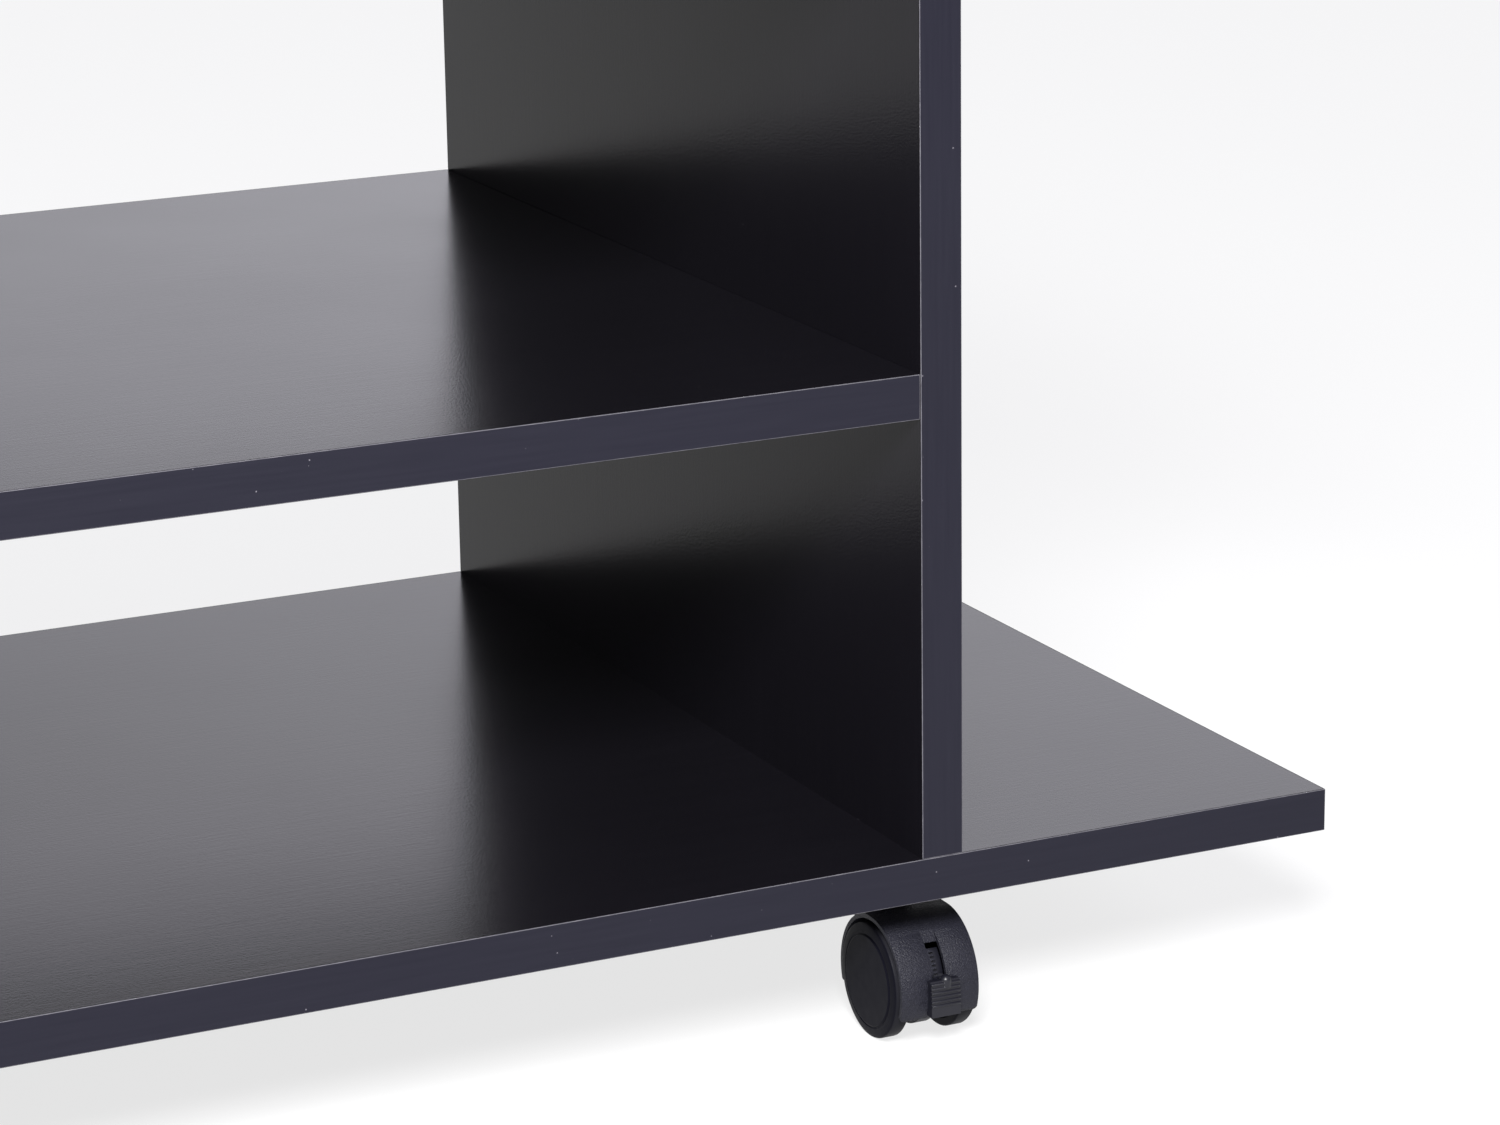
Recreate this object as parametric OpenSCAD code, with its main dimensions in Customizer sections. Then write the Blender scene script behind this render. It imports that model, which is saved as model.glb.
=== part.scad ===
// Low mobile printer stand: five boards on four hooded twin-wheel swivel casters.
// Millimetres. +X is the width, -Y the front, +Z up. The origin is on the floor, under the middle.

/* [Boards] */
// Width of the base and top boards
stand_w = 800; // [760:10:1000]
// Depth of every board, front to back
stand_d = 400; // [380:10:500]
// Thickness of every board
board_t = 15; // [15:1:18]
// Thickness of the strips glued to the cut edges of the boards
band_t = 0.5; // [0.4:0.1:1]

/* [Layout] */
// Clear width between the two uprights
bay_w = 486; // [440:2:500]
// Clear height between the base and the middle shelf
lower_bay_h = 150; // [120:5:200]
// Clear height between the middle shelf and the top
upper_bay_h = 150; // [120:5:200]
// Gap at each end of the middle shelf
shelf_end_gap = 0.2; // [0.2:0.1:1]

/* [Casters] */
// Height from the floor to the underside of the base
caster_h = 55; // [55:1:60]
// Diameter of the caster wheels
wheel_d = 40; // [38:1:40]
// Distance from the middle of the stand to the casters' centre planes
caster_x = 251.5; // [200:0.5:300]
// Distance from the front or back edge to the swivel axis
stem_inset = 43.3; // [43:0.1:90]
// Distance from the swivel axis to the wheel axle
trail = 17; // [16:0.5:18]
// Width over the caster's hood
hood_w = 29.2; // [29:0.1:30]
// Angle that the brake lever can be lifted through
brake_travel = 32; // [10:1:32]

/* [Hidden] */
CASTERS = [["front_left", -1, -1], ["front_right", 1, -1], ["rear_left", -1, 1], ["rear_right", 1, 1]];
CASTER_PIECES = ["caster_plate", "kingpin", "hood", "axle", "left_wheel", "right_wheel"];

$fn = 96;
lap = 0.01; // how far a cutter runs past the face that it cuts
band_joint = 0.02; // hairline between two edge strips at a corner

// Levels and planes of the boards
base_z = caster_h;
base_top = base_z + board_t;
shelf_z = base_top + lower_bay_h;
top_z = shelf_z + board_t + upper_bay_h;
upright_h = top_z - base_top;
upright_x = (bay_w + board_t) / 2;
shelf_w = bay_w - 2 * shelf_end_gap;
stem_y = stand_d / 2 - stem_inset;

// Where the joints lie along each board end, from the middle
cam_y = 120;
screw_y = 105;
dowel_y = 60;

// Confirmat screws, up through the base into the uprights
screw_len = 50;
screw_head_r = 5;
screw_head_h = 4;
screw_r = 3.5;
screw_root_r = 2.6;
hex_key_w = 4;

// Cam bolts and cam locks, at the top of the uprights and the ends of the shelf
cam_r = 7.5;
cam_h = 12.4;
cam_reach = 34; // from the face that the bolt stands on to the cam's centre
cam_slot = 1.4;
bolt_r = 3;
bolt_neck_r = 2;
bolt_head_r = 3.2;
bolt_root = 11; // length screwed into the board
bolt_room_r = 3.5;

// Fluted wooden dowels
dowel_r = 4;
dowel_len = 30;
dowel_in_face = 8;

// Caster plate, its screws and its kingpin
plate_w = 38;
plate_t = 1.8;
plate_corner_r = 4;
plate_hole_at = 14.5;
plate_hole_r = 2.1;
plate_screw_r = 1.75;
plate_screw_root_r = 1.2;
plate_screw_len = 13;
plate_screw_head_r = 3.6;
plate_screw_head_h = 2;
pin_r = 4;
pin_end_z = 33;
pin_shoulder_r = 6.5;
pin_shoulder_z = 47.6;
pin_rivet_r = 5.2;

// Hood: a shell over both wheels, with a web, an axle boss and a stem socket in one moulding
wheel_r = wheel_d / 2;
hood_r = wheel_r + 2.67;
hood_in_r = wheel_r + 1.17;
hood_from = -22; // angles about the axle, from straight ahead, upwards
hood_to = 200;
hood_corner_r = 1.5;
hood_deck_len = 12;
hood_deck_corner_r = 3;
web_t = 5;
web_r = 17;
boss_r = 4.2;
boss_w = 6.4;
socket_r = 8.5;
socket_z = 12.5;
socket_top = 47.3;
running_gap = 0.06;
slot_w = 5.3;
slot_from = -9;
slot_to = 47;
ramp_to = 57.5;
ramp_depth = 1.2;
tooth_pitch = 3.8;
rack_from = 18;
rack_teeth = 6;
rack_r = hood_r - 0.35;
rack_w = 0.8;
tooth_w = 1.5;

// Brake lever: hooked over the axle boss, with its tab outside the hood
lever_t = 4.2;
lever_hook_r = 7;
lever_hook_from = -84;
lever_hook_to = 56;
lever_arm_r = hood_in_r - 0.4;
lever_neck_x = [-2.3, 0.1];
lever_from = -6;
lever_to = 14;
shield_to = 42;
shield_t = 1.4;
shield_w = 4.7;
tab_gap = 0.3;
tab_x = [-6, 4.9];
tab_top = [25, 5.4];
tab_foot = [25.9, -7];
tab_ribs = 6;
tab_rib_r = 0.5;
tab_rib_pitch = 1.5;
nub_x = -1.3;
nub_r = 2.1;
nub_out = 23.8;
nub_low = 2.6;
nub_high = 5;

// Wheels: each one moulding with a hub, a web and a rim, dished on the inner side
axle_r = 2;
axle_len = 25;
hub_in = 3.4; // distances from the caster's centre plane
rim_in = 9.7;
wheel_web_in = 13.2;
rim_out = 15.5;
face_out = 16.2;
hub_r = 5;
rim_bore_r = 17.2;
face_r = 15.6;
groove_w = 1; // a groove around the face disc
groove_d = 0.5;
rim_round = 0.5;
wheel_ribs = 6;
wheel_rib_t = 1;

// ---- small helpers ----

function polar(r, a) = [r * cos(a), r * sin(a)];

// A saw-tooth screw thread's outline, as radius and height pairs from z0 up to z1
function thread_outline(root_r, crest_r, z0, z1, pitch) = [
    for (z = [z0:pitch:z1 - pitch]) each [[root_r, z], [crest_r, z + pitch * 0.4], [root_r, z + pitch * 0.8]]
];

// A pie slice that reaches well past the caster
module slice(a0, a1) {
    steps = ceil((a1 - a0) / 45);
    polygon(concat([[0, 0]], [for (i = [0:steps]) polar(60, a0 + (a1 - a0) * i / steps)]));
}

// An arc-shaped strip about the axle
module arc_strip(r0, r1, a0, a1) {
    difference() {
        intersection() {
            circle(r1);
            slice(a0, a1);
        }
        circle(r0);
    }
}

// Corner-to-corner box
module box(low, high) {
    translate(low) cube(high - low);
}

module in_pairs_along_y(y) {
    for (side = [-1, 1]) translate([0, side * y, 0]) children();
}

module mirrored_in_x() {
    children();
    mirror([1, 0, 0]) children();
}

module rounded_square(w, r) {
    square([w, w - 2 * r], center = true);
    square([w - 2 * r, w], center = true);
    for (x = [-1, 1], y = [-1, 1]) translate([x, y] * (w / 2 - r)) circle(r);
}

// ---- boards ----

// A board lying flat, with room left for the strips on the edges that have them
module flat_board(w, z, end_bands) {
    end = end_bands ? band_t : 0;
    box([-w / 2 + end, -stand_d / 2 + band_t, z], [w / 2 - end, stand_d / 2 - band_t, z + board_t]);
}

module front_and_back_bands(x0, x1, z0, z1) {
    for (side = [0, 1]) mirror([0, side, 0])
        box([x0, -stand_d / 2, z0], [x1, -stand_d / 2 + band_t, z1]);
}

module end_bands(w, z) {
    y = stand_d / 2 - band_t - band_joint;
    mirrored_in_x() box([w / 2 - band_t, -y, z], [w / 2, y, z + board_t]);
}

module base_panel() {
    color("#1b1a1d") difference() {
        flat_board(stand_w, base_z, true);
        mirrored_in_x() translate([upright_x, 0, 0]) {
            in_pairs_along_y(screw_y) translate([0, 0, base_z]) {
                translate([0, 0, -lap]) cylinder(r = screw_r, h = board_t + 2 * lap);
                translate([0, 0, -lap]) cylinder(r1 = screw_head_r, r2 = screw_r, h = screw_head_h);
            }
            in_pairs_along_y(dowel_y) translate([0, 0, base_top - dowel_in_face])
                cylinder(r = dowel_r, h = dowel_in_face + lap);
        }
        at_caster_screws() cylinder(r = plate_screw_r, h = plate_screw_len - plate_t + 0.3);
    }
}

module top_panel() {
    color("#1b1a1d") difference() {
        flat_board(stand_w, top_z, true);
        mirrored_in_x() translate([upright_x, 0, top_z - lap]) {
            in_pairs_along_y(cam_y) cylinder(r = bolt_r, h = bolt_root + lap);
            in_pairs_along_y(dowel_y) cylinder(r = dowel_r, h = dowel_in_face + lap);
        }
    }
}

// The right upright; the left one is its mirror image
module upright() {
    dowel_room = dowel_len - dowel_in_face + lap;
    difference() {
        box([upright_x - board_t / 2, -stand_d / 2 + band_t, base_top],
            [upright_x + board_t / 2, stand_d / 2 - band_t, top_z]);
        translate([upright_x, 0, 0]) {
            in_pairs_along_y(screw_y) translate([0, 0, base_top - lap])
                cylinder(r = screw_r, h = screw_len - board_t + 1);
            in_pairs_along_y(dowel_y) {
                translate([0, 0, base_top - lap]) cylinder(r = dowel_r, h = dowel_room);
                translate([0, 0, top_z - dowel_room + lap]) cylinder(r = dowel_r, h = dowel_room);
            }
            in_pairs_along_y(cam_y) {
                translate([0, 0, top_z - cam_reach]) cylinder(r = bolt_room_r, h = cam_reach + lap);
                translate([board_t / 2 + lap, 0, top_z - cam_reach]) rotate([0, -90, 0])
                    cylinder(r = cam_r, h = cam_h + lap);
            }
        }
        translate([bay_w / 2 - lap, 0, shelf_z + board_t / 2]) rotate([0, 90, 0]) {
            in_pairs_along_y(cam_y) cylinder(r = bolt_r, h = bolt_root + lap);
            in_pairs_along_y(dowel_y) cylinder(r = dowel_r, h = dowel_in_face + lap);
        }
    }
}

module left_upright() {
    color("#1b1a1d") mirror([1, 0, 0]) upright();
}

module right_upright() {
    color("#1b1a1d") upright();
}

module middle_shelf() {
    color("#1b1a1d") difference() {
        flat_board(shelf_w, shelf_z, false);
        mirrored_in_x() {
            translate([shelf_w / 2 + lap, 0, shelf_z + board_t / 2]) rotate([0, -90, 0]) {
                in_pairs_along_y(cam_y) cylinder(r = bolt_room_r, h = cam_reach);
                in_pairs_along_y(dowel_y) cylinder(r = dowel_r, h = dowel_len - dowel_in_face);
            }
            translate([bay_w / 2 - cam_reach, 0, shelf_z - lap])
                in_pairs_along_y(cam_y) cylinder(r = cam_r, h = cam_h + lap);
        }
    }
}

module base_edge_bands() {
    color("#37353f") {
        front_and_back_bands(-stand_w / 2, stand_w / 2, base_z, base_top);
        end_bands(stand_w, base_z);
    }
}

module top_edge_bands() {
    color("#37353f") {
        front_and_back_bands(-stand_w / 2, stand_w / 2, top_z, top_z + board_t);
        end_bands(stand_w, top_z);
    }
}

module upright_edge_bands(side) {
    x = side * upright_x;
    color("#37353f") front_and_back_bands(x - board_t / 2, x + board_t / 2, base_top, top_z);
}

module shelf_edge_bands() {
    color("#37353f") front_and_back_bands(-shelf_w / 2, shelf_w / 2, shelf_z, shelf_z + board_t);
}

// ---- fasteners ----

// Countersunk screw standing on its head, with a hexagon socket
module joint_screw() {
    tip = 2;
    difference() {
        rotate_extrude() polygon(concat(
            [[0, 0], [screw_head_r, 0], [screw_r, screw_head_h], [screw_r, board_t]],
            thread_outline(screw_root_r, screw_r, board_t, screw_len - tip, 3),
            [[screw_root_r, screw_len - tip], [0, screw_len]]));
        translate([0, 0, -lap]) cylinder(d = hex_key_w / cos(30), h = 3, $fn = 6);
    }
}

module base_joint_screws() {
    color("#9a8f6a") mirrored_in_x() translate([upright_x, 0, base_z])
        in_pairs_along_y(screw_y) joint_screw();
}

// Cam bolt: its thread is below z = 0 and its head reaches into the cam
module cam_bolt() {
    head_z = cam_reach - 2;
    neck_z = head_z - 5;
    rotate_extrude() polygon(concat(
        [[0, -bolt_root + 0.5]],
        thread_outline(bolt_neck_r, bolt_r, -bolt_root + 0.5, 0, 2.5),
        [[bolt_neck_r, -1], [bolt_neck_r, 0], [bolt_r, 0], [bolt_r, neck_z], [bolt_neck_r, neck_z]],
        [[bolt_neck_r, head_z], [bolt_head_r, head_z], [bolt_head_r, head_z + 2]],
        [[bolt_neck_r, head_z + 3.2], [0, head_z + 3.2]]));
}

// Cam lock lying on its screwdriver face, with the bolt coming in along -Y
module cam_lock() {
    cross = 9;
    difference() {
        cylinder(r = cam_r - 0.1, h = cam_h);
        translate([0, 4, board_t / 2]) rotate([90, 0, 0]) cylinder(r = bolt_room_r, h = cam_r + 5);
        for (turn = [0, 90]) rotate([0, 0, turn])
            box([-cross / 2, -cam_slot / 2, -lap], [cross / 2, cam_slot / 2, 2]);
    }
}

module cam_bolts() {
    color("#b9b7b0") mirrored_in_x() {
        translate([upright_x, 0, top_z]) rotate([180, 0, 0]) in_pairs_along_y(cam_y) cam_bolt();
        translate([bay_w / 2, 0, shelf_z + board_t / 2]) rotate([0, -90, 0])
            in_pairs_along_y(cam_y) cam_bolt();
    }
}

module cam_locks() {
    color("#a7a59f") mirrored_in_x() {
        in_pairs_along_y(cam_y) {
            translate([upright_x + board_t / 2, 0, top_z - cam_reach]) rotate([-90, 0, 90])
                cam_lock();
            translate([bay_w / 2 - cam_reach, 0, shelf_z]) rotate([0, 0, 90]) cam_lock();
        }
    }
}

module dowel() {
    chamfer = 1;
    r = dowel_r - 0.05;
    rotate_extrude() polygon([
        [0, 0.2], [r - chamfer, 0.2], [r, 0.2 + chamfer],
        [r, dowel_len - 0.4 - chamfer], [r - chamfer, dowel_len - 0.4], [0, dowel_len - 0.4]]);
}

module joint_dowels() {
    color("#c9a877") mirrored_in_x() in_pairs_along_y(dowel_y) {
        translate([upright_x, 0, base_top - dowel_in_face]) dowel();
        translate([upright_x, 0, top_z + dowel_in_face]) mirror([0, 0, 1]) dowel();
        translate([bay_w / 2 + dowel_in_face, 0, shelf_z + board_t / 2]) rotate([0, -90, 0]) dowel();
    }
}

// Pan-head screw pointing up, head below z = 0, with a cross recess
module plate_screw() {
    tip = 2;
    recess = 4;
    difference() {
        rotate_extrude() polygon(concat(
            [[0, -plate_screw_head_h], [plate_screw_head_r * 0.6, -plate_screw_head_h]],
            [[plate_screw_head_r * 0.9, -plate_screw_head_h * 0.7], [plate_screw_head_r, -0.4]],
            [[plate_screw_head_r, 0], [plate_screw_root_r, 0]],
            thread_outline(plate_screw_root_r, plate_screw_r, 0.4, plate_screw_len - tip, 1.6),
            [[plate_screw_root_r, plate_screw_len - tip], [0, plate_screw_len]]));
        for (turn = [0, 90]) rotate([0, 0, turn])
            box([-recess / 2, -0.4, -plate_screw_head_h - lap], [recess / 2, 0.4, -0.6]);
    }
}

module at_caster_screws() {
    for (c = CASTERS, x = [-1, 1], y = [-1, 1])
        translate([c[1] * caster_x, c[2] * stem_y, base_z - lap])
            translate([x, y, 0] * plate_hole_at) children();
}

module caster_screws() {
    color("#8f8f90") at_caster_screws() translate([0, 0, lap - plate_t]) plate_screw();
}

// ---- casters, each with its swivel axis on Z and its hood facing +Y ----

module at_caster(c) {
    translate([c[1] * caster_x, c[2] * stem_y, 0]) rotate([0, 0, c[2] < 0 ? 180 : 0]) children();
}

// Turns X ahead, Y up and Z along the axle, with the origin at the axle's middle
module about_axle() {
    translate([0, trail, wheel_r]) rotate([90, 0, 90]) children();
}

// Draws an outline about the axle and gives it a width, from x0 to x1
module across(x0, x1) {
    about_axle() translate([0, 0, x0]) linear_extrude(x1 - x0) children();
}

module caster_plate() {
    color("#26262a") difference() {
        translate([0, 0, base_z - plate_t]) linear_extrude(plate_t) rounded_square(plate_w, plate_corner_r);
        for (x = [-1, 1], y = [-1, 1]) translate([x, y, 0] * plate_hole_at)
            translate([0, 0, base_z - plate_t - lap]) cylinder(r = plate_hole_r, h = plate_t + 2 * lap);
        translate([0, 0, base_z - plate_t - lap]) cylinder(r = pin_r, h = plate_t + 2 * lap);
        translate([0, 0, base_z - plate_t / 2])
            cylinder(r1 = pin_r, r2 = pin_rivet_r, h = plate_t / 2 + lap);
    }
}

module kingpin() {
    groove_z = pin_end_z + 2.5;
    color("#b4b4b8") rotate_extrude() polygon([
        [0, pin_end_z], [pin_r - 0.8, pin_end_z], [pin_r, pin_end_z + 0.8],
        [pin_r, groove_z], [pin_r - 0.5, groove_z], [pin_r - 0.5, groove_z + 1.2], [pin_r, groove_z + 1.2],
        [pin_r, pin_shoulder_z], [pin_shoulder_r, pin_shoulder_z],
        [pin_shoulder_r, base_z - plate_t], [pin_r, base_z - plate_t],
        [pin_r, base_z - plate_t / 2], [pin_rivet_r, base_z], [0, base_z]]);
}

// The hood's outline: a long arc over the wheels, squared off above the stem
module hood_outline() {
    intersection() {
        circle(hood_r);
        slice(hood_from, hood_to);
    }
    translate([-hood_deck_len, 0]) square([hood_deck_len, hood_r - hood_deck_corner_r]);
    translate([hood_deck_corner_r - hood_deck_len, 0]) square([hood_deck_len - hood_deck_corner_r, hood_r]);
    translate([hood_deck_corner_r - hood_deck_len, hood_r - hood_deck_corner_r]) circle(hood_deck_corner_r);
}

// Rounds one corner of the shell, at the end of its arc
module corner_cutter(angle, up, side) {
    r = hood_corner_r;
    about_axle() rotate([0, 0, angle]) mirror([0, up ? 0 : 1, 0]) mirror([0, 0, side < 0 ? 1 : 0])
        difference() {
            box([hood_in_r - 2, -1, hood_w / 2 - r], [hood_r + 1, r, hood_w / 2 + 1]);
            translate([hood_in_r - 3, r, hood_w / 2 - r]) rotate([0, 90, 0]) cylinder(r = r, h = 6);
        }
}

module web_outline() {
    difference() {
        union() {
            circle(web_r);
            intersection() {
                circle(hood_in_r + 0.2);
                slice(96, 198);
            }
        }
        slice(-32, 96);
        intersection() {
            circle(lever_hook_r + 0.5);
            slice(-92, 100);
        }
    }
    circle(boss_r);
}

module hood(braked) {
    color("#232227") difference() {
        union() {
            difference() {
                across(-hood_w / 2, hood_w / 2) hood_outline();
                across(-hood_w, hood_w) circle(hood_in_r);
                for (side = [-1, 1]) {
                    corner_cutter(hood_from, true, side);
                    corner_cutter(hood_to, false, side);
                }
                if (braked) across(-slot_w / 2, slot_w / 2) slot_outline();
            }
            across(-web_t / 2, web_t / 2) web_outline();
            across(-boss_w / 2, boss_w / 2) circle(boss_r);
            translate([0, 0, socket_z]) cylinder(r = socket_r, h = socket_top - 1 - socket_z);
            translate([0, 0, socket_top - 1]) cylinder(r1 = socket_r, r2 = socket_r - 1, h = 1);
            if (braked) rack();
        }
        translate([0, 0, pin_end_z - 0.5]) cylinder(r = pin_r + running_gap, h = socket_top);
        across(-boss_w, boss_w) circle(axle_r);
    }
}

// A slot right through the hood, with a ramp at its top that rises to the hood's surface
module slot_outline() {
    arc_strip(hood_in_r - 1, hood_r + 1, slot_from, slot_to);
    polygon([polar(hood_r - ramp_depth, slot_to - 1), polar(hood_r + 1, slot_to - 1),
        polar(hood_r + 1, ramp_to), polar(hood_r, ramp_to)]);
}

// The toothed strip along one side of the brake slot
module rack() {
    x = slot_w / 2;
    across(x - rack_w, x + 0.2)
        arc_strip(hood_in_r, rack_r, rack_from - 2, rack_from + rack_teeth * tooth_pitch);
    for (i = [0:rack_teeth - 1])
        across(x - rack_w - tooth_w, x)
            arc_strip(hood_in_r, rack_r, rack_from + i * tooth_pitch, rack_from + (i + 0.5) * tooth_pitch);
}

module brake_lever() {
    color("#2b2a30") {
        across(-lever_t / 2, lever_t / 2) {
            arc_strip(boss_r + running_gap, lever_hook_r, lever_hook_from, lever_hook_to);
            arc_strip(lever_hook_r - 0.5, lever_arm_r, lever_from, lever_to);
        }
        across(-shield_w / 2, shield_w / 2)
            arc_strip(lever_arm_r - shield_t, lever_arm_r, lever_to - 1, shield_to);
        across(lever_neck_x[0], lever_neck_x[1])
            arc_strip(lever_arm_r - 0.5, hood_r + 1, lever_from, lever_to);
        across(tab_x[0], tab_x[1]) tab_outline();
        for (i = [0:tab_ribs - 1]) about_axle()
            translate(concat(tab_top + (1 + i * tab_rib_pitch) * tab_slope(), tab_x[0]))
                cylinder(r = tab_rib_r, h = tab_x[1] - tab_x[0]);
        nub();
    }
}

// The direction down the tab's front face
function tab_slope() = (tab_foot - tab_top) / norm(tab_foot - tab_top);

// A thumb tab with a flat sloping front, hollowed behind to clear the hood
module tab_outline() {
    difference() {
        polygon([[hood_in_r, tab_top[1]], tab_top - [0.6, 0], tab_top + 0.6 * tab_slope(), tab_foot,
            [hood_in_r - 1, tab_foot[1]]]);
        circle(hood_r + tab_gap);
    }
}

// The rounded detent finger that stands above the tab's ribs, in front of the neck
module nub() {
    difference() {
        about_axle() {
            translate([nub_out, nub_low, nub_x])
                rotate([-90, 0, 0]) cylinder(r = nub_r, h = nub_high - nub_low);
            translate([nub_out, nub_high, nub_x]) sphere(nub_r);
        }
        across(nub_x - nub_r - 1, nub_x + nub_r + 1) circle(hood_r + tab_gap);
    }
}

module axle() {
    color("#b4b4b8") about_axle() cylinder(r = axle_r, h = axle_len, center = true);
}

// One wheel, on the side of the caster that side names: 1 or -1
module wheel(side) {
    bore_r = axle_r + running_gap;
    bore_end = axle_len / 2 + 0.15;
    color("#1d1c20") about_axle() mirror([0, 0, side < 0 ? 1 : 0]) {
        rotate_extrude() polygon([
            [bore_r, hub_in], [hub_r, hub_in], [hub_r, wheel_web_in], [rim_bore_r, wheel_web_in],
            [rim_bore_r, rim_in], [wheel_r - rim_round, rim_in], [wheel_r, rim_in + rim_round],
            [wheel_r, rim_out - rim_round * 1.4], [wheel_r - rim_round * 0.4, rim_out - rim_round * 0.4],
            [wheel_r - rim_round * 1.2, rim_out], [face_r + groove_w, face_out - groove_d * 0.6],
            [face_r + groove_w * 0.7, face_out - groove_d], [face_r + groove_w * 0.4, face_out - groove_d],
            [face_r + groove_w * 0.15, face_out - groove_d * 0.2], [face_r - groove_w * 0.1, face_out],
            [0, face_out], [0, bore_end], [bore_r, bore_end]]);
        for (i = [0:wheel_ribs - 1]) rotate([0, 0, i * 360 / wheel_ribs])
            box([hub_r - 0.3, -wheel_rib_t / 2, rim_in + 0.8],
                [rim_bore_r + 0.3, wheel_rib_t / 2, wheel_web_in + 0.3]);
    }
}

// A left or right wheel is named as the stand is seen from its front
module caster_piece(c, piece) {
    turned = c[2] < 0 ? -1 : 1;
    at_caster(c) {
        if (piece == "caster_plate") caster_plate();
        if (piece == "kingpin") kingpin();
        if (piece == "hood") hood(c[2] < 0);
        if (piece == "axle") axle();
        if (piece == "left_wheel") wheel(-turned);
        if (piece == "right_wheel") wheel(turned);
        if (piece == "brake_lever") brake_lever();
    }
}

// ---- nodes ----

base_panel();
top_panel();
left_upright();
right_upright();
middle_shelf();
base_edge_bands();
top_edge_bands();
upright_edge_bands(-1);  // left_upright_edge_bands
upright_edge_bands(1);  // right_upright_edge_bands
shelf_edge_bands();
base_joint_screws();
cam_bolts();
cam_locks();
joint_dowels();
caster_screws();
for (c = CASTERS, piece = CASTER_PIECES)
    caster_piece(c, piece);
caster_piece(CASTERS[0], "brake_lever");  // front_left_brake_lever
caster_piece(CASTERS[1], "brake_lever");  // front_right_brake_lever
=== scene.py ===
import math

import bpy
from mathutils import Matrix, Vector

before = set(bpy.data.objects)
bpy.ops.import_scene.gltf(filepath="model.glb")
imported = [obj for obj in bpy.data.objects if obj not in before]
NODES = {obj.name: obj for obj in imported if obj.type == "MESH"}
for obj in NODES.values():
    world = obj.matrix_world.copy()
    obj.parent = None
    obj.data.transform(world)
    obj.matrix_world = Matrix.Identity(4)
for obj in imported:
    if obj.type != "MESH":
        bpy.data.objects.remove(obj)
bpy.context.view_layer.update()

MM = 0.001


# ---- helpers for node trees ----


def map_range(tree, value, ends, to_ends, blend="LINEAR"):
    """The value carried from one range to another, and held at the ends."""
    node = tree.nodes.new("ShaderNodeMapRange")
    node.interpolation_type = blend
    for name, number in zip(("From Min", "From Max", "To Min", "To Max"), (*ends, *to_ends)):
        node.inputs[name].default_value = number
    tree.links.new(value, node.inputs["Value"])
    return node.outputs["Result"]


# ---- camera, world and floor ----

SENSOR_WIDTH_MM = 36
LENS_MM = 113.256
CAMERA_AT = (-0.4459, -1.5076, 0.5870)
CAMERA_YAW = math.radians(25.62)
CAMERA_PITCH = math.radians(-15.66)
CAMERA_ROLL = math.radians(-0.81)

# The studio's colour, and its brightness behind, behind on the left, and in front
WORLD_COLOUR = (0.93, 0.92, 1, 1)
WORLD_BRIGHT = 1.3
WORLD_DIM = 0.16
WORLD_FRONT = 0.55
# Where each blend starts and ends, as a coordinate of the direction looked in
LEFT_FADE = (0.55, -0.35)
BEHIND_FADE = (-0.3, 0.5)
FRONT_FADE = (-0.5, 0.4)

KEY_AT = (-0.5, -1.5, 1.2)
KEY_AIM = (0.2, -0.2, 0.1)
KEY_SIZE = (0.45, 0.45)
KEY_WATTS = 75

# The floor glows, so that it stays nearly white like the studio
FLOOR_HALF = 12
FLOOR_ALBEDO = 0.2
FLOOR_GLOW = 0.76


def make_camera():
    data = bpy.data.cameras.new("camera")
    data.sensor_width = SENSOR_WIDTH_MM
    data.lens = LENS_MM
    data.clip_start = 0.05
    data.clip_end = 60
    camera = bpy.data.objects.new("camera", data)
    bpy.context.scene.collection.objects.link(camera)
    turn = Matrix.Rotation(-CAMERA_YAW, 4, "Z")
    tilt = Matrix.Rotation(math.pi / 2 + CAMERA_PITCH, 4, "X")
    roll = Matrix.Rotation(CAMERA_ROLL, 4, "Z")
    camera.matrix_world = Matrix.Translation(CAMERA_AT) @ turn @ tilt @ roll
    bpy.context.scene.camera = camera


def make_world():
    """A white studio, dimmer in front, and dim behind the stand on its left."""
    world = bpy.data.worlds.new("studio")
    world.use_nodes = True
    tree = world.node_tree
    nodes, links = tree.nodes, tree.links
    place = nodes.new("ShaderNodeTexCoord")
    axes = nodes.new("ShaderNodeSeparateXYZ")
    links.new(place.outputs["Generated"], axes.inputs["Vector"])
    leftward = map_range(tree, axes.outputs["X"], LEFT_FADE, (0, 1), "SMOOTHSTEP")
    behind = map_range(tree, axes.outputs["Y"], BEHIND_FADE, (0, 1), "SMOOTHSTEP")
    dark = nodes.new("ShaderNodeMath")
    dark.operation = "MULTIPLY"
    links.new(leftward, dark.inputs[0])
    links.new(behind, dark.inputs[1])
    around = map_range(tree, axes.outputs["Y"], FRONT_FADE, (WORLD_FRONT, WORLD_BRIGHT), "SMOOTHSTEP")
    strength = nodes.new("ShaderNodeMix")
    strength.inputs["B"].default_value = WORLD_DIM
    links.new(dark.outputs["Value"], strength.inputs["Factor"])
    links.new(around, strength.inputs["A"])
    background = nodes["Background"]
    background.inputs["Color"].default_value = WORLD_COLOUR
    links.new(strength.outputs["Result"], background.inputs["Strength"])
    bpy.context.scene.world = world


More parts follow.
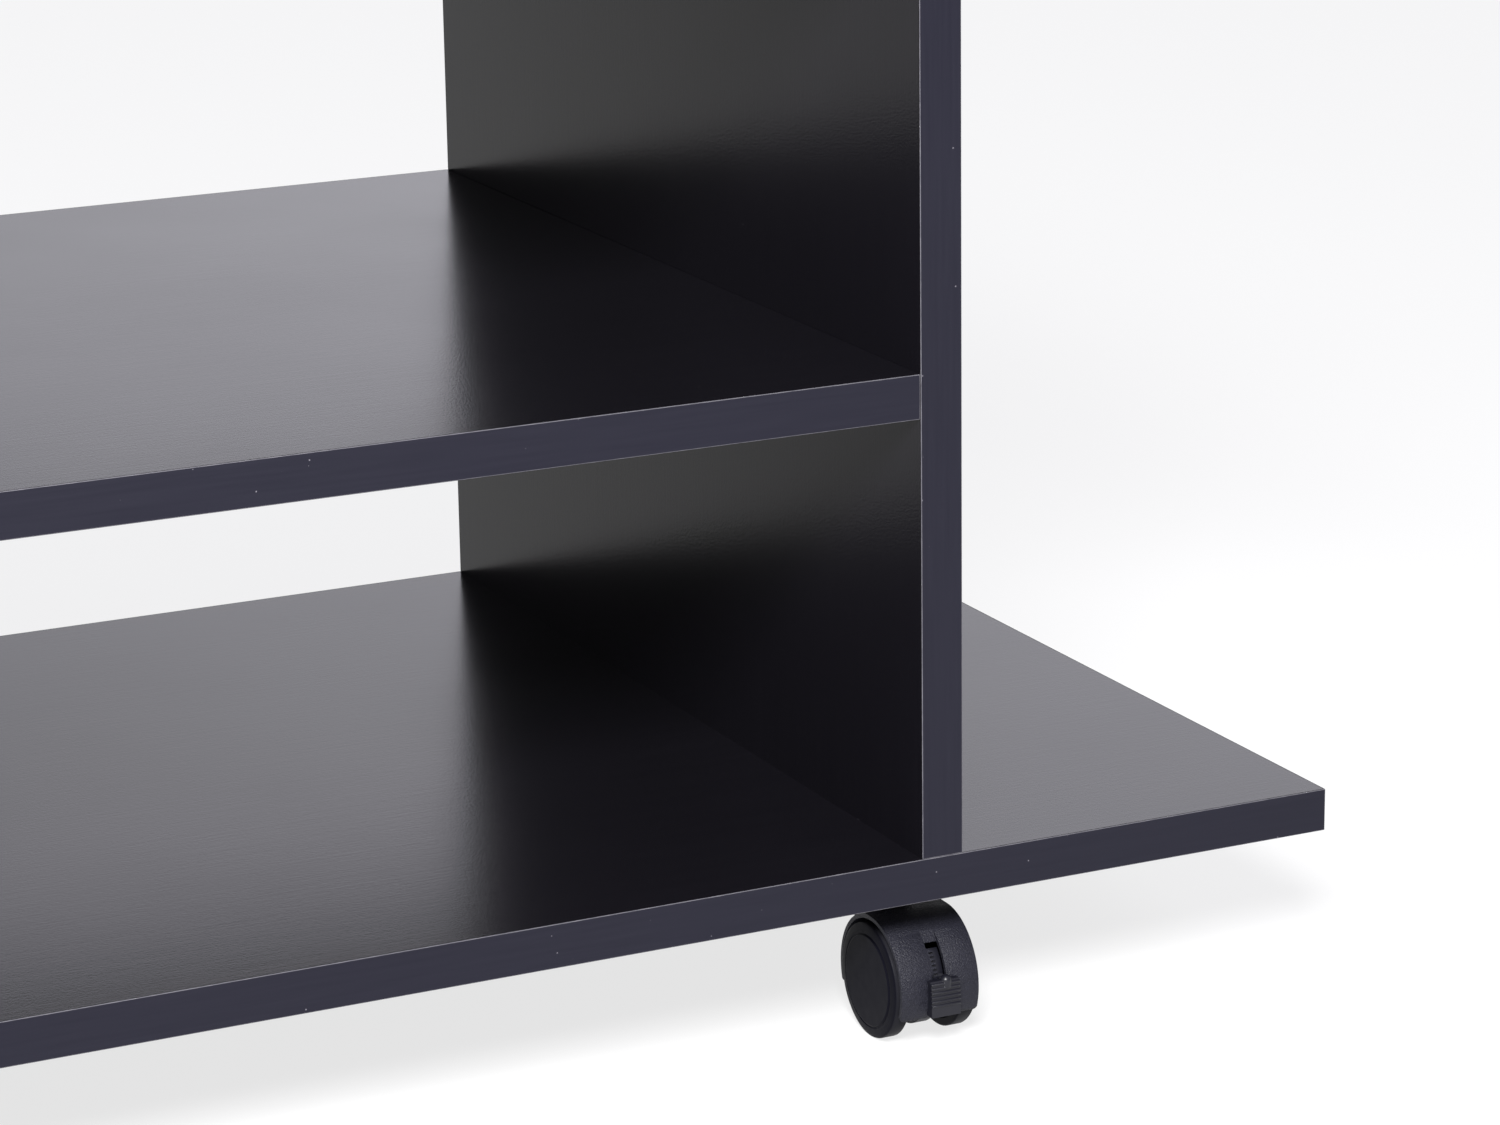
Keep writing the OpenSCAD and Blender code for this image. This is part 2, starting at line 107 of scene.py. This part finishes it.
def make_softbox(name, at, aim, size, watts):
    """A rectangular area light at one point, facing another."""
    data = bpy.data.lights.new(name, "AREA")
    data.shape = "RECTANGLE"
    data.size, data.size_y = size
    data.energy = watts
    light = bpy.data.objects.new(name, data)
    light.location = at
    light.rotation_euler = (Vector(aim) - Vector(at)).to_track_quat("-Z", "Y").to_euler()
    bpy.context.scene.collection.objects.link(light)


def make_floor():
    corners = [(x * FLOOR_HALF, y * FLOOR_HALF, 0) for x, y in ((-1, -1), (1, -1), (1, 1), (-1, 1))]
    mesh = bpy.data.meshes.new("floor")
    mesh.from_pydata(corners, [], [(0, 1, 2, 3)])
    mesh.update()
    floor = bpy.data.objects.new("floor", mesh)
    bpy.context.scene.collection.objects.link(floor)
    mat = bpy.data.materials.new("floor")
    mat.use_nodes = True
    shader = mat.node_tree.nodes["Principled BSDF"]
    shader.inputs["Base Color"].default_value = (FLOOR_ALBEDO, FLOOR_ALBEDO, FLOOR_ALBEDO, 1)
    shader.inputs["Roughness"].default_value = 1
    shader.inputs["Specular IOR Level"].default_value = 0
    shader.inputs["Emission Color"].default_value = (1, 1, 1, 1)
    shader.inputs["Emission Strength"].default_value = FLOOR_GLOW
    floor.data.materials.append(mat)


# ---- procedural materials ----

# The middle of a noise texture's values, where most of them lie
NOISE_MIDDLE = (0.3, 0.7)
WHEEL_D = 40 * MM


class Maker:
    """A Principled material whose patterns lie in the object's own metres."""

    def __init__(self, name, colour, roughness, specular=0.5):
        self.mat = bpy.data.materials.new(name)
        self.mat.use_nodes = True
        self.nodes = self.mat.node_tree.nodes
        self.links = self.mat.node_tree.links
        self.shader = self.nodes["Principled BSDF"]
        self.shader.inputs["Base Color"].default_value = (*colour, 1)
        self.shader.inputs["Roughness"].default_value = roughness
        self.shader.inputs["Specular IOR Level"].default_value = specular
        self.place = self.nodes.new("ShaderNodeTexCoord").outputs["Object"]

    def stretched(self, factors):
        """The object's own coordinates, each multiplied by a factor."""
        mapping = self.nodes.new("ShaderNodeMapping")
        mapping.inputs["Scale"].default_value = factors
        self.links.new(self.place, mapping.inputs["Vector"])
        return mapping.outputs["Vector"]

    def noise(self, size, detail=2, stretch=(1, 1, 1), roughness=0.5):
        """Cloudy noise, from 0 to 1, whose features are about size metres across."""
        node = self.nodes.new("ShaderNodeTexNoise")
        node.inputs["Scale"].default_value = 1 / size
        node.inputs["Detail"].default_value = detail
        node.inputs["Roughness"].default_value = roughness
        self.links.new(self.stretched(stretch), node.inputs["Vector"])
        return node.outputs["Fac"]

    def specks(self, gap, inner, outer, strength):
        """Scattered dots, about gap metres apart: full inside one radius, and gone outside another."""
        node = self.nodes.new("ShaderNodeTexVoronoi")
        node.inputs["Scale"].default_value = 1 / gap
        self.links.new(self.place, node.inputs["Vector"])
        return self.remap(node.outputs["Distance"], (outer / gap, inner / gap), (0, strength))

    def radius_about_x(self, diameter):
        """The distance in metres from the X axis through the middle of a round part of this diameter."""
        scaled = self.nodes.new("ShaderNodeVectorMath")
        scaled.operation = "MULTIPLY"
        scaled.inputs[1].default_value = (0, diameter, diameter)
        generated = self.place.node.outputs["Generated"]
        self.links.new(generated, scaled.inputs[0])
        away = self.nodes.new("ShaderNodeVectorMath")
        away.operation = "DISTANCE"
        away.inputs[1].default_value = (0, diameter / 2, diameter / 2)
        self.links.new(scaled.outputs["Vector"], away.inputs[0])
        return away.outputs["Value"]

    def remap(self, value, ends, to_ends):
        return map_range(self.mat.node_tree, value, ends, to_ends)

    def mix_colour(self, fac, first, second):
        """The first colour where fac is 0 and the second where it is 1; each is a tuple or an output."""
        node = self.nodes.new("ShaderNodeMix")
        node.data_type = "RGBA"
        self.links.new(fac, node.inputs["Factor"])
        for socket, colour in ((node.inputs["A"], first), (node.inputs["B"], second)):
            if isinstance(colour, tuple):
                socket.default_value = (*colour, 1)
            else:
                self.links.new(colour, socket)
        return node.outputs["Result"]

    def colour(self, output):
        self.links.new(output, self.shader.inputs["Base Color"])

    def roughness(self, output):
        self.links.new(output, self.shader.inputs["Roughness"])

    def bump(self, *layers):
        """Each layer is a height output and its depth in metres; they add up."""
        normal = None
        for height, depth in layers:
            node = self.nodes.new("ShaderNodeBump")
            node.inputs["Distance"].default_value = depth
            self.links.new(height, node.inputs["Height"])
            if normal is not None:
                self.links.new(normal, node.inputs["Normal"])
            normal = node.outputs["Normal"]
        self.links.new(normal, self.shader.inputs["Normal"])


def streaks_along(axis, narrowness):
    """Scales that draw a noise out along one axis, X, Y or Z."""
    return tuple(1 if other == axis else narrowness for other in "XYZ")


def laminate(name, grain, specular, roughness):
    """Satin black melamine: a fine pebble, faint streaks along the grain, and a few specks of dust."""
    dark, pale, dust = (0.0040, 0.0036, 0.0054), (0.0062, 0.0056, 0.0078), (0.3, 0.3, 0.32)
    cloudiness = 0.012
    m = Maker(name, (0.004, 0.0037, 0.0052), roughness, specular)
    m.roughness(m.remap(m.noise(90 * MM, 3), NOISE_MIDDLE, (roughness - cloudiness, roughness + cloudiness)))
    streaks = m.noise(60 * MM, 2, streaks_along(grain, 40))
    specks = m.specks(16 * MM, 0.16 * MM, 0.256 * MM, 0.2)
    m.colour(m.mix_colour(specks, m.mix_colour(streaks, dark, pale), dust))
    m.bump((m.noise(0.8 * MM, 1), 0.03 * MM), (streaks, 0.02 * MM))
    return m.mat


def edge_strip(name, grain):
    """Blue-black edging with long brushed streaks, and pale specks of dust."""
    dark, pale, dust = (0.0070, 0.0068, 0.0132), (0.0115, 0.0112, 0.0190), (0.4, 0.38, 0.42)
    m = Maker(name, (0.009, 0.009, 0.016), 0.42, 0.175)
    streaks = m.noise(40 * MM, 3, streaks_along(grain, 30))
    specks = m.specks(7 * MM, 0.175 * MM, 0.315 * MM, 0.3)
    m.colour(m.mix_colour(specks, m.mix_colour(streaks, dark, pale), dust))
    m.roughness(m.remap(streaks, NOISE_MIDDLE, (0.39, 0.45)))
    m.bump((m.noise(0.6 * MM, 2), 0.006 * MM), (streaks, 0.015 * MM))
    return m.mat


def painted_arris_highlight(name):
    """A paler line painted on an edge strip's rounded corner: a painted highlight along the arris."""
    # Both colours are painted highlight, far paler than the edge strip itself.
    dark, highlit = (0.025, 0.024, 0.034), (0.15, 0.145, 0.16)
    m = Maker(name, (0.06, 0.057, 0.07), 0.45, 0.3)
    m.colour(m.mix_colour(m.noise(5 * MM, 3), dark, highlit))
    m.bump((m.noise(0.4 * MM, 2), 0.02 * MM))
    return m.mat


def nylon(name):
    """Moulded black nylon with a spark-eroded pebble."""
    dark, pale = (0.004, 0.004, 0.0065), (0.024, 0.024, 0.034)
    m = Maker(name, (0.010, 0.010, 0.014), 0.45, 0.16)
    m.colour(m.mix_colour(m.noise(0.5 * MM, 2), dark, pale))
    m.roughness(m.remap(m.noise(8 * MM, 2), NOISE_MIDDLE, (0.36, 0.46)))
    m.bump((m.noise(0.55 * MM, 2, roughness=0.6), 0.4 * MM))
    return m.mat


def smooth_plastic(name, colour, roughness, specular):
    """Smooth moulded plastic or lacquer, a little uneven from wear in its roughness and surface."""
    m = Maker(name, colour, roughness, specular)
    m.roughness(m.remap(m.noise(4 * MM, 4), NOISE_MIDDLE, (roughness - 0.05, roughness + 0.06)))
    m.bump((m.noise(0.3 * MM, 2), 0.006 * MM), (m.noise(6 * MM, 2), 0.02 * MM))
    return m.mat


def wheel_plastic(name):
    """Satin black nylon, paler within 0.3 mm of the rim and over the rolling surface: a painted highlight
    along the rim.
    """
    black, rim_highlight_colour = (0.004, 0.004, 0.007), (0.012, 0.012, 0.015)
    rim_highlight_band = (WHEEL_D / 2 - 0.3 * MM, WHEEL_D / 2 - 0.05 * MM)
    m = Maker(name, black, 0.4, 0.03)
    # Painted highlight: the colour turns paler from 0.3 mm inside the rim outwards.
    rim_highlight_mask = m.remap(m.radius_about_x(WHEEL_D), rim_highlight_band, (0, 1))
    m.colour(m.mix_colour(rim_highlight_mask, black, rim_highlight_colour))
    m.roughness(m.remap(m.noise(4 * MM, 4), NOISE_MIDDLE, (0.35, 0.46)))
    m.bump((m.noise(0.3 * MM, 2), 0.006 * MM))
    return m.mat


def metal(name, colour, roughness):
    """Plated or cast metal with a faintly uneven finish."""
    m = Maker(name, colour, roughness)
    m.shader.inputs["Metallic"].default_value = 1
    bright = tuple(min(1, 1.15 * c) for c in colour)
    m.colour(m.mix_colour(m.noise(2 * MM, 3), colour, bright))
    m.roughness(m.remap(m.noise(1.5 * MM, 3), NOISE_MIDDLE, (roughness - 0.06, roughness + 0.08)))
    m.bump((m.noise(0.5 * MM, 2), 0.01 * MM))
    return m.mat


def beech(name):
    """Raw beech, with its grain along Z."""
    dark, pale = (0.55, 0.38, 0.21), (0.68, 0.52, 0.33)
    m = Maker(name, (0.62, 0.45, 0.27), 0.6)
    grain = m.noise(8 * MM, 4, streaks_along("Z", 6))
    m.colour(m.mix_colour(grain, dark, pale))
    m.bump((grain, 0.05 * MM))
    return m.mat


# ---- dressing the CAD nodes ----

STRIP_BEVEL = 0.28 * MM
HOOD_BEVEL = 0.12 * MM
WHEEL_BEVEL = 0.08 * MM
LEVER_BEVEL = 0.04 * MM
WELD_GAP = 0.001 * MM
SHARP_ANGLE = math.radians(40)


def dress(node, mat, bevel_width=0, edge_mat=None):
    """Gives a CAD node its material, and rounds its edges, if asked in a material of their own."""
    obj = NODES[node]
    obj.data.materials.clear()
    obj.data.materials.append(mat)
    if edge_mat:
        obj.data.materials.append(edge_mat)
    if bevel_width:
        weld = obj.modifiers.new("join faces", "WELD")
        weld.merge_threshold = WELD_GAP
        bevel = obj.modifiers.new("round edges", "BEVEL")
        bevel.width = bevel_width
        bevel.segments = 2
        bevel.limit_method = "ANGLE"
        bevel.angle_limit = SHARP_ANGLE
        bevel.use_clamp_overlap = False
        bevel.harden_normals = True
        if edge_mat:
            bevel.material = 1


def dress_all():
    flat = laminate("laminate flat", "X", 0.5, 0.22)
    # The uprights take a copy of the same melamine with far less specular, 0.09 against 0.5: painted shade,
    # dimming what their faces reflect.
    upright = laminate("laminate upright", "Z", 0.09, 0.22)
    band_x, band_z = edge_strip("edge strip along", "X"), edge_strip("edge strip upright", "Z")
    # The edge strips' rounded corners get this paler material: a painted highlight along every arris.
    arris = painted_arris_highlight("painted arris highlight")
    pebbled = nylon("textured nylon")
    wheel_mat = wheel_plastic("wheel plastic")
    lever_mat = smooth_plastic("lever plastic", (0.006, 0.006, 0.010), 0.33, 0.4)
    black_steel = smooth_plastic("black lacquer", (0.012, 0.012, 0.013), 0.35, 0.5)
    zinc = metal("zinc plate", (0.55, 0.55, 0.57), 0.3)
    yellow = metal("yellow zinc plate", (0.62, 0.50, 0.27), 0.32)
    casting = metal("zinc casting", (0.45, 0.45, 0.45), 0.45)
    for node in ("base_panel", "top_panel", "middle_shelf"):
        dress(node, flat)
    for node in ("left_upright", "right_upright"):
        dress(node, upright)
    for node in ("base_edge_bands", "top_edge_bands", "shelf_edge_bands"):
        dress(node, band_x, STRIP_BEVEL, arris)
    for node in ("left_upright_edge_bands", "right_upright_edge_bands"):
        dress(node, band_z, STRIP_BEVEL, arris)
    dress("base_joint_screws", yellow)
    dress("cam_bolts", zinc)
    dress("cam_locks", casting)
    dress("joint_dowels", beech("beech dowel"))
    dress("caster_screws", zinc)
    for corner in ("front_left", "front_right", "rear_left", "rear_right"):
        dress(corner + "_caster_plate", black_steel)
        dress(corner + "_kingpin", zinc)
        dress(corner + "_axle", zinc)
        dress(corner + "_hood", pebbled, HOOD_BEVEL)
        for side in ("left", "right"):
            dress(f"{corner}_{side}_wheel", wheel_mat, WHEEL_BEVEL)
    for corner in ("front_left", "front_right"):
        dress(corner + "_brake_lever", lever_mat, LEVER_BEVEL)


make_camera()
make_world()
make_softbox("key", KEY_AT, KEY_AIM, KEY_SIZE, KEY_WATTS)
make_floor()
dress_all()

scene = bpy.context.scene
scene.view_settings.view_transform = "Standard"
